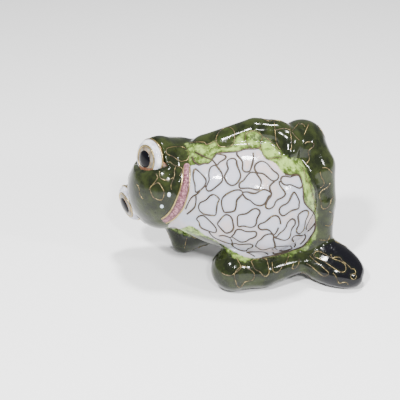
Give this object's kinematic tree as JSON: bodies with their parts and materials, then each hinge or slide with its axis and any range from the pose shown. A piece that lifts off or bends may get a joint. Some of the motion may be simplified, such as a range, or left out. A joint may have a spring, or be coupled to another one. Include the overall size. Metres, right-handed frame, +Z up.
{
  "type": "cloisonne frog figurine",
  "caption": "Hollow copper frog figurine reclining on its side, covered in gilt wire cells filled with glossy green, lime and white enamel.",
  "frame": {"origin": "on the table, under the middle of the figure's bounding box", "axes": "+Z up from the table, -X towards the head, +X towards the feet, -Y the side the belly faces"},
  "size_m": [0.0762, 0.038, 0.0512],
  "materials": {
    "copper": "formed copper sheet, soldered",
    "gilt_wire": "drawn wire, gilt and rubbed brown",
    "white_enamel": "fired glass enamel, glossy",
    "lime_enamel": "fired glass enamel, glossy",
    "pink_enamel": "fired glass enamel, glossy",
    "amber_enamel": "fired glass enamel, glossy",
    "black_enamel": "fired glass enamel, glossy",
    "pale_enamel": "fired glass enamel, glossy",
    "green_enamel": "fired glass enamel, glossy"
  },
  "bodies": {
    "root": {"back_cell_wires": "gilt_wire", "back_enamel": "green_enamel", "belly_cell_wires": "gilt_wire", "belly_enamel": "white_enamel", "belly_wire_lower": "gilt_wire", "belly_wire_upper": "gilt_wire", "flank_enamel_lower": "lime_enamel", "flank_enamel_upper": "lime_enamel", "flank_wire_lower": "gilt_wire", "flank_wire_upper": "gilt_wire", "head_cell_wires": "gilt_wire", "head_copper": "copper", "head_enamel": "green_enamel", "left_arm_cell_wires": "gilt_wire", "left_arm_copper": "copper", "left_arm_enamel": "green_enamel", "left_eye_inner_rim": "gilt_wire", "left_eye_iris": "amber_enamel", "left_eye_outer_rim": "gilt_wire", "left_eye_pupil": "black_enamel", "left_eye_white": "white_enamel", "left_foot_copper": "copper", "left_foot_enamel": "black_enamel", "left_leg_cell_wires": "gilt_wire", "left_leg_copper": "copper", "left_leg_enamel": "green_enamel", "lip_enamel": "pink_enamel", "lip_wire_face": "gilt_wire", "lip_wire_throat": "gilt_wire", "nostril_dots": "pale_enamel", "right_arm_cell_wires": "gilt_wire", "right_arm_copper": "copper", "right_arm_enamel": "green_enamel", "right_eye_inner_rim": "gilt_wire", "right_eye_iris": "amber_enamel", "right_eye_outer_rim": "gilt_wire", "right_eye_pupil": "black_enamel", "right_eye_white": "white_enamel", "right_foot_cell_wires": "gilt_wire", "right_foot_copper": "copper", "right_foot_enamel": "black_enamel", "right_leg_cell_wires": "gilt_wire", "right_leg_copper": "copper", "right_leg_enamel": "green_enamel", "torso_shell_back": "copper", "torso_shell_front": "copper"}
  },
  "joints": []
}
